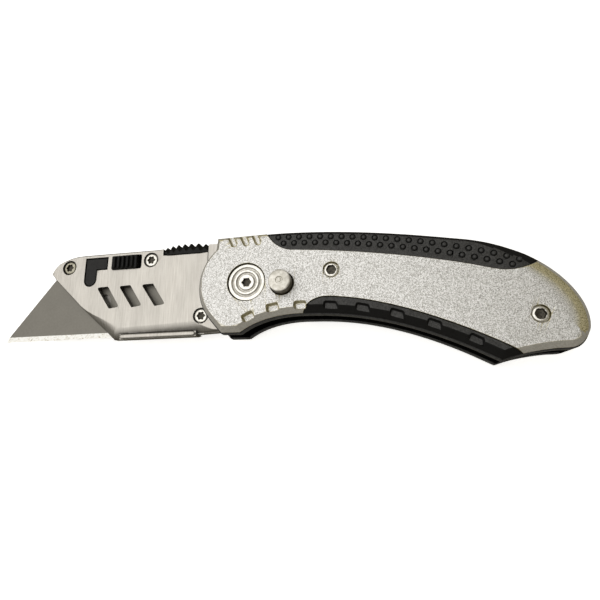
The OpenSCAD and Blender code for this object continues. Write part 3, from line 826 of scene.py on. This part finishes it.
def handle_side(side):
    """One side's scale, grips, studs and liner, which are made in front and mirrored for the rear."""
    rear = side == "rear"
    scale = scale_piece(side + "_scale_casting", not rear)
    top = top_grip_piece(side + "_top_grip_rubber")
    studs = studs_piece(side + "_grip_studs")
    bottom = bottom_grip_piece(side + "_bottom_grip_rubber")
    liner = liner_piece(side + "_liner_frame", rear)
    if rear:
        for piece in (scale, top, studs, bottom, liner):
            flip_to_rear(piece)
    # Bevels and walls of the casting take the darker copies: painted shade, and on the walls painted
    # reflection too.
    by_slope(scale, BEVEL_LIMIT, WALL_LIMIT)
    dress(scale, "handle", "scale", SILVER, SILVER_BEVEL_SHADE, CAST_WALL_SHADE, replaces=[side + "_scale"])
    dress(top, "handle", "grip", RUBBER_SMOOTH, RUBBER_GRAIN, replaces=[side + "_top_grip"])
    dress(studs, "handle", "grip", STUD_RUBBER)
    dress(bottom, "handle", "grip", RUBBER_SMOOTH, RUBBER_GRAIN, replaces=[side + "_bottom_grip"])
    dress(liner, "handle", "liner", LINER_FACE_SHADE, LINER_EDGE, replaces=[side + "_liner"])


handle_side("front")
handle_side("rear")


# ---------- screws, pivot and lock button ----------

HEAD_DROP = 0.1                  # how far a screw's head lies below the face round it
HEAD_T = 1.1
SCREW_SHANK_R = 1.15
SOCKET_DEPTH = 0.75
SOCKET_TIP_R = 0.06
TIP_R = 0.05                     # the smallest ring, in the middle of a turned face


def shade_socket(obj, at, r, z):
    """Faces inside radius r and below z take the second material, which is painted shade in a socket."""
    for face in obj.data.polygons:
        c = face.center / MM
        if (c.xy - at).length < r and c.z < z and face.normal.z > -0.5:
            face.material_index = 1


def screw_piece(name, at, r, top, foot, socket_r, lobe):
    """A flat-headed screw with a six-lobed socket. Its socket faces are marked for painted shade."""
    profile = [
        (SCREW_SHANK_R, foot), (SCREW_SHANK_R, top - HEAD_T),
        (r, top - HEAD_T), (r, top - 0.18), (r - 0.16, top - 0.03), (r - 0.45, top),
        (socket_r * 1.12, top), (socket_r, top - 0.1), (socket_r * 0.94, top - SOCKET_DEPTH),
        (SOCKET_TIP_R, top - SOCKET_DEPTH - 0.2),
    ]
    lobes = [0, 0, 0, 0, 0, 0, lobe, lobe, lobe, 0]
    screw = turned(name, at, profile, 48, lobes)
    shade_socket(screw, at, socket_r * 1.3, top - 0.05)
    return screw


def scale_screws(side):
    for i, p in enumerate(SCREW_PLACES):
        screw = screw_piece(
            f"{side}_scale_screw_{i + 1}", p, r=1.75, top=FACE - HEAD_DROP, foot=SCALE_BACK - 1,
            socket_r=1.15, lobe=0.08)
        if side == "rear":
            flip_to_rear(screw)
        dress(screw, "handle", "fastener", SCREW_STEEL, SOCKET_SHADE, replaces=[side + "_scale_screws"])
        soften(screw, 0, angle=40)


scale_screws("front")
scale_screws("rear")

SHANK_R = 1.5
SHANK_END = 3
SHANK_PLAY = 0.1
RING_GROOVES = (3.6, 2.35)
RING_GROOVE_PROFILE = [(0.42, 0), (0.2, -0.26), (0, -0.34), (-0.2, -0.26), (-0.42, 0)]


def ringed_face(outer, top):
    """Radius and height pairs of the pivot's face, from its rim to its hex socket."""
    pairs = [(outer, SCALE_BACK + 0.2), (outer, top - 0.3), (outer - 0.1, top - 0.08), (outer - 0.3, top)]
    for groove in RING_GROOVES:
        pairs += [(groove + r, top + z) for r, z in RING_GROOVE_PROFILE]
    return pairs + [(1.35, top), (1.25, top - 0.1), (1.2, top - 1.1), (SOCKET_TIP_R, top - 1.3)]


def pivot_piece():
    """The pivot's ringed front head with its shank."""
    top = high("pivot_bolt")
    profile = [(SHANK_R, SHANK_END), (SHANK_R, SCALE_BACK + 0.2)] + ringed_face(PIVOT_R, top)
    pivot = turned("pivot_head", PIVOT, profile, 72, [0] * (len(profile) - 3) + [HEX, HEX, 0])
    # Painted shade in the hex socket.
    shade_socket(pivot, PIVOT, 1.4, top - 0.05)
    dress(pivot, "handle", "polished_steel", POLISHED, SOCKET_SHADE, replaces=["pivot_bolt"])
    soften(pivot, 0, angle=30)


def pivot_rear_piece():
    """The plain rear head with the barrel that the holder turns on, bored for the shank."""
    foot = low("pivot_nut")
    head_top = FACE - SCALE_BACK
    chamfer = 0.3
    bore_r = SHANK_R + SHANK_PLAY
    bore_foot = SHANK_END - SHANK_PLAY
    rear_head = turned("pivot_rear_head", PIVOT, [
        (PIVOT_R - chamfer, foot), (PIVOT_R, foot + chamfer), (PIVOT_R, head_top),
        (BARREL_R, head_top), (BARREL_R, SCALE_BACK), (bore_r, SCALE_BACK),
        (bore_r, bore_foot), (TIP_R, bore_foot),
    ], 72)
    dress(rear_head, "handle", "polished_steel", POLISHED, replaces=["pivot_nut"])
    soften(rear_head, 0, angle=30)


BORE_R = 2
BORE_TOP = 9


def lock_button_piece():
    """A push button with a flange, a ringed top and a bore from below for its spring."""
    top, foot = high("lock_button"), low("lock_button")
    button = turned("lock_button_cap", BUTTON, [
        (TIP_R, BORE_TOP), (BORE_R, BORE_TOP), (BORE_R, foot),
        (FLANGE_R, foot), (FLANGE_R, foot + 0.55), (BUTTON_R, foot + 0.6),
        (BUTTON_R, top - 0.35), (BUTTON_R - 0.08, top - 0.12), (BUTTON_R - 0.3, top),
        (0.95, top), (0.8, top - 0.14), (0.55, top - 0.14), (0.45, top), (TIP_R, top),
    ], 64)
    # The button's steep sides take the darker steel: painted shade.
    by_slope(button, 0.3)
    dress(button, "lock", "polished_steel", TURNED_STEEL, BUTTON_SIDE_SHADE, replaces=["lock_button"])
    soften(button, 0, angle=30)


pivot_piece()
pivot_rear_piece()
lock_button_piece()


# ---------- blade holder ----------

COVER_T = HOLDER_FACE - COVER_BACK
HOLDER_SCREWS = [Vector((-54.8, 9.2)), Vector((-29.3, 9.7)), Vector((-13.8, -7.1))]
LIP_LEFT, LIP_RIGHT, LIP_TOP = -37.3, -15.2, -11.0
LIP_FACE = high("holder_body")
LIP_FOOT = low_y("holder_body") + 0.05
LIP_GAP = 0.1

# The cover's front edges as width and depth. The lower one is rolled between two places along X.
LOWER_EDGE = (0.15, 0.2)
SPINE_EDGE = (0.3, 0.35)
END_EDGE = (0.1, 0.1)
ROLL_W = 3.2
ROLL_SOFTNESS = 0.5
ROLL_STARTS = (-50, -40)
ROLL_ENDS = (-17, -9)
FACING_DOWN = -0.3               # limits for the part of an outline's normal along Y
FACING_UP = 0.8


def cover_edge(p, n):
    """Width, depth and softness of the cover's front edge at an outline point."""
    if n.y < FACING_DOWN:
        rolled = smoothstep(*ROLL_STARTS, p.x) * (1 - smoothstep(*ROLL_ENDS, p.x))
        width, depth = LOWER_EDGE
        return width + ROLL_W * rolled, depth + (COVER_T - 2 * depth) * rolled, ROLL_SOFTNESS * rolled
    if n.y > FACING_UP:
        return *SPINE_EDGE, 0
    return *END_EDGE, 0


def cover_piece():
    """The front plate: its lower edge rolls in round the lip, and it has windows and screw holes.
    The gap for the lip is left out of its rim and cut afterwards, so that the roll runs through."""
    rim = section("holder_cover", COVER_BACK + 0.05)[0]
    holes = section("holder_cover", COVER_BACK + 1)[1:]
    near = 1
    rim = [p for p in rim if not (LIP_LEFT - near < p.x < LIP_RIGHT + near and p.y < LIP_TOP + near)]
    rim = divided(rim, 2.5)
    edges = [cover_edge(p, n) for p, (n, _) in zip(rim, normals(rim))]
    cover = solid("holder_cover_plate", edge_rings(rim, edges, HOLDER_FACE, COVER_BACK))
    left, right, foot, head = LIP_LEFT - LIP_GAP, LIP_RIGHT + LIP_GAP, LIP_FOOT - 5, LIP_TOP + LIP_GAP
    slot = [Vector(p) for p in ((left, foot), (right, foot), (right, head), (left, head))]
    cut(cover, prism("slot", slot, COVER_BACK - PAST, HOLDER_FACE + PAST))
    for hole in holes:
        four_sided = len(hole) < 6
        outline = round_corners(hole, 0.5) if four_sided else moved_in(hole, -0.1)
        cut(cover, prism("hole", outline, COVER_BACK - PAST, HOLDER_FACE + PAST))
    for p in HOLDER_SCREWS:
        bore(cover, p, SCREW_SINK_R, HOLDER_FACE - SCREW_SINK, HOLDER_FACE + PAST)
    soften(cover, 0.08)
    dress(cover, "holder", "holder_steel", HOLDER_STEEL, replaces=["holder_cover"])


def holder_screws():
    """Three screws; the foremost one is darker and more olive than the others."""
    for i, p in enumerate(HOLDER_SCREWS):
        screw = screw_piece(
            f"holder_screw_{i + 1}", p, r=1.78, top=HOLDER_FACE - HEAD_DROP, foot=COVER_BACK - 2,
            socket_r=1.0, lobe=0.16)
        steel = SCREW_STEEL if i else OLIVE_STEEL
        dress(screw, "holder", "fastener", steel, SOCKET_SHADE, replaces=["holder_screws"])
        soften(screw, 0, angle=40)


def blade_guide_piece():
    """The angled plastic piece, almost flush in the cover."""
    outline = smoothed(section("blade_guide", HOLDER_FACE - 1)[0])
    guide = prism("blade_guide_slide", moved_in(outline, 0.12), COVER_BACK + 0.05, HOLDER_FACE - 0.05)
    soften(guide, 0.18, segments=3)
    dress(guide, "holder", "black_plastic", GUIDE_PLASTIC, replaces=["blade_guide"])


RAMP_TIPS = [
    (-25, 13.3), (-23.4, 13.7), (-21.7, 13.9), (-19.8, 14), (-17.9, 14), (-15.7, 13.9), (-13.5, 13.5),
]
RAMP_SHOULDER = 12.6
RAMP_DROP = 1.5                  # how much lower the teeth are on the ramp's faces
RAMP_FALL = 1.0                  # how far from each face they start to fall
TOOTH_DEPTH = 1.0


def ramp_outline(drop, steps=8):
    """The thumb ramp seen from the front, anticlockwise, with its toothed edge lowered by drop."""
    a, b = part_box("thumb_ramp")
    left, right, foot = a.x / MM, b.x / MM, a.y / MM
    chamfer = 0.5
    lowered = Vector((0, drop))
    crest = []
    for tip, following in zip(RAMP_TIPS, RAMP_TIPS[1:]):
        for k in range(steps):
            t = k / steps
            valley = Vector((0, TOOTH_DEPTH * math.sin(math.pi * t) ** 2.5))
            crest.append(Vector(tip).lerp(Vector(following), t) - valley - lowered)
    crest.append(Vector(RAMP_TIPS[-1]) - lowered)
    return [
        Vector((left + chamfer, foot)), Vector((right, foot)), Vector((right, RAMP_SHOULDER)) - lowered,
        *crest[::-1],
        Vector((left, RAMP_SHOULDER)) - lowered, Vector((left, foot + chamfer)),
    ]


def ramp_piece():
    """Teeth run across the spine and fall away over both faces, where they show as ribs."""
    back, front = low("thumb_ramp"), high("thumb_ramp")
    ramp = solid("thumb_ramp_teeth", [
        at_level(ramp_outline(RAMP_DROP), back),
        at_level(ramp_outline(0), back + RAMP_FALL),
        at_level(ramp_outline(0), front - RAMP_FALL),
        at_level(ramp_outline(RAMP_DROP), front),
    ])
    soften(ramp, 0.06)
    dress(ramp, "holder", "black_plastic", BLACK_PLASTIC, replaces=["thumb_ramp"])


RIBS = 5
RIB_START = 1.05                 # from the slide's left side to the middle of the first rib
RIB_PITCH = 1.35
RIB_R = 0.48
RIB_MARGIN = 0.1
RIB_PROFILE = ((0, -0.8), (0.02, -0.35), (0.12, -0.12), (0.3, 0))       # inset and height


def stadium(x, y0, y1, r, steps=8):
    """A long round-ended outline that stands along Y, anticlockwise."""
    points = []
    for k in range(steps + 1):
        a = math.pi * k / steps
        points.append(Vector((x + r * math.cos(a), y1 - r + r * math.sin(a))))
    for k in range(steps + 1):
        a = math.pi + math.pi * k / steps
        points.append(Vector((x + r * math.cos(a), y0 + r + r * math.sin(a))))
    return points


def release_slide_piece():
    """The ribbed slide: a flange under the cover, a block with rounded corners, and ribs."""
    corners = section("release_button", HOLDER_FACE + 0.3)[0]
    left = min(p.x for p in corners)
    foot = min(p.y for p in corners) + RIB_MARGIN
    head = max(p.y for p in corners) - RIB_MARGIN
    top = high("release_button")
    body = round_corners(corners, 0.35)
    flange = round_corners(moved_in(corners, -0.35), 0.3)
    stacks = [
        [at_level(flange, COVER_BACK + 0.1), at_level(flange, COVER_BACK + 0.65)],
        [at_level(body, COVER_BACK + 0.3), at_level(body, top - 0.75),
         at_level(moved_in(body, 0.15), top - 0.6)],
    ]
    for i in range(RIBS):
        x = left + RIB_START + RIB_PITCH * i
        stacks.append([
            at_level(stadium(x, foot + inset, head - inset, RIB_R - inset), top + z)
            for inset, z in RIB_PROFILE
        ])
    slide = solid("release_slide", *stacks)
    soften(slide, 0, angle=40)
    dress(slide, "release", "black_plastic", BLACK_PLASTIC, replaces=["release_button"])


BEAD_STEPS = 12
BEAD_RISE = 0.3
BEAD_SINK = 0.25                 # how far the bead's foot lies below the lip's face
BEAD_ENDS = ((0.1, 0.3), (0.3, 0.7), (0.7, 0.95), (1.2, 1))     # place from the end, and size there


def lip_bead_piece():
    """A rounded bead that covers the front of the holder's lower lip and tapers to both ends."""
    half = (LIP_TOP - 0.05 - LIP_FOOT) / 2
    profile = []
    for k in range(BEAD_STEPS + 1):
        a = math.pi * k / BEAD_STEPS
        profile.append((half * math.cos(a), BEAD_RISE * math.sin(a)))
    places = [(LIP_LEFT + x, size) for x, size in BEAD_ENDS]
    places += [(LIP_RIGHT - x, size) for x, size in BEAD_ENDS[::-1]]
    bead = solid("holder_lip_bead", [
        [(x, LIP_FOOT + half + size * dy, LIP_FACE - BEAD_SINK + size * dz) for dy, dz in profile]
        for x, size in places
    ])
    soften(bead, 0, angle=40)
    dress(bead, "holder", "holder_steel", HOLDER_STEEL)


def copied(node, name):
    """A new object with the CAD node's own mesh."""
    obj = bpy.data.objects.new(name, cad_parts[node].data.copy())
    bpy.context.scene.collection.objects.link(obj)
    return obj


def blade_piece():
    """The blade with its two ground slopes in a second, brighter steel."""
    blade = copied("blade", "trapezoid_blade")
    soften(blade, 0, angle=4)
    for face in blade.data.polygons:
        face.material_index = int(0.9 < abs(face.normal.z) < 0.995)
    dress(blade, "holder", "blade_steel", BLADE_GREY, EDGE_STEEL, replaces=["blade"])


cover_piece()
holder_screws()
blade_guide_piece()
ramp_piece()
release_slide_piece()
lip_bead_piece()
blade_piece()


# ---------- inner parts and springs ----------

def carried(node, finish, width):
    """A CAD node shown as it is, with its edges softened by a width in mm."""
    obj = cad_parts[node]
    obj.data.materials.clear()
    obj.data.materials.append(finish)
    weld = obj.modifiers.new("weld", "WELD")
    weld.merge_threshold = 1e-6
    if width:
        bevel = obj.modifiers.new("edges", "BEVEL")
        bevel.width = width * MM
        bevel.segments = 2
        bevel.limit_method = "ANGLE"
        bevel.angle_limit = math.radians(30)


carried("holder_body", HOLDER_STEEL, 0.15)
carried("holder_core", HOLDER_STEEL, 0)
carried("release_pin", WIRE, 0)
carried("blade_catch", WIRE, 0.05)
carried("pivot_washers", BRONZE, 0)
carried("back_spacer", SPACER_GREY, 0.15)
carried("spacer_rivets", SCREW_STEEL, 0)


def spring_piece(node, body):
    """A coil spring copied from its CAD node, with its own mesh."""
    spring = copied(node, node + "_coil")
    dress(spring, body, "spring_steel", WIRE, replaces=[node])
    soften(spring, 0, angle=60)
    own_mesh(spring)


spring_piece("lock_spring", "handle")
spring_piece(
    "release_spring", "holder")


# ---------- camera, floor and light, in metres ----------

CAMERA_PLACE = Vector((0.03364, -0.03337, 0.120))
CAMERA_AIM = Vector((0.01263, -0.0038, 0.007))
CAMERA_ROLL = math.radians(0.68)
CAMERA_LENS = 27.2
FLOOR_HALF_SIZE = 1.5
FLOOR_DROP = 0.0002
FLOOR_GLOW = 0.6
WORLD_COLOR = (1.0, 0.91, 0.68, 1)
WORLD_STRENGTH = 0.22
SOFTBOX_PLACE = (-0.36, 0.12, 0.6)
SOFTBOX_SIZE = 1.1
SOFTBOX_POWER = 6.0


def aim_camera():
    data = bpy.data.cameras.new("camera")
    data.lens = CAMERA_LENS
    data.sensor_width = 36
    data.clip_start = 0.005
    camera = bpy.data.objects.new("camera", data)
    bpy.context.scene.collection.objects.link(camera)
    back = (CAMERA_PLACE - CAMERA_AIM).normalized()
    up = Vector((0, 1, 0))
    up = (up - up.dot(back) * back).normalized()
    right = up.cross(back)
    r = right * math.cos(CAMERA_ROLL) - up * math.sin(CAMERA_ROLL)
    u = up * math.cos(CAMERA_ROLL) + right * math.sin(CAMERA_ROLL)
    turn = Matrix((r, u, back)).transposed().to_4x4()
    camera.matrix_world = Matrix.Translation(CAMERA_PLACE) @ turn
    bpy.context.scene.camera = camera


def lay_floor():
    """A pale sheet that glows a little, so that it stays near white; metal doesn't mirror it."""
    bm = bmesh.new()
    bmesh.ops.create_grid(bm, x_segments=8, y_segments=8, size=FLOOR_HALF_SIZE)
    floor = add_object("floor", bm)
    floor.location = (0, 0, -FLOOR_DROP)
    floor.visible_glossy = False
    made = material("pale_floor", (0.9, 0.9, 0.9), 0.0, 0.8)
    w = Weave(made)
    w.into("Base Color", w.ramp(w.noise(0.02, detail=2), (0.3, 0.89), (0.7, 0.91)))
    w.shader.inputs["Emission Color"].default_value = (1, 1, 1, 1)
    w.shader.inputs["Emission Strength"].default_value = FLOOR_GLOW
    floor.data.materials.append(made)


def light_studio():
    """A dim warm surround, and one large softbox that shines straight down from the left."""
    world = bpy.data.worlds.new("studio")
    bpy.context.scene.world = world
    world.use_nodes = True
    background = world.node_tree.nodes["Background"]
    background.inputs["Color"].default_value = WORLD_COLOR
    background.inputs["Strength"].default_value = WORLD_STRENGTH
    data = bpy.data.lights.new("softbox", "AREA")
    data.size = SOFTBOX_SIZE
    data.energy = SOFTBOX_POWER
    softbox = bpy.data.objects.new("softbox", data)
    softbox.location = SOFTBOX_PLACE
    bpy.context.scene.collection.objects.link(softbox)
    bpy.context.scene.view_settings.view_transform = "Standard"


lay_floor()
light_studio()
aim_camera()
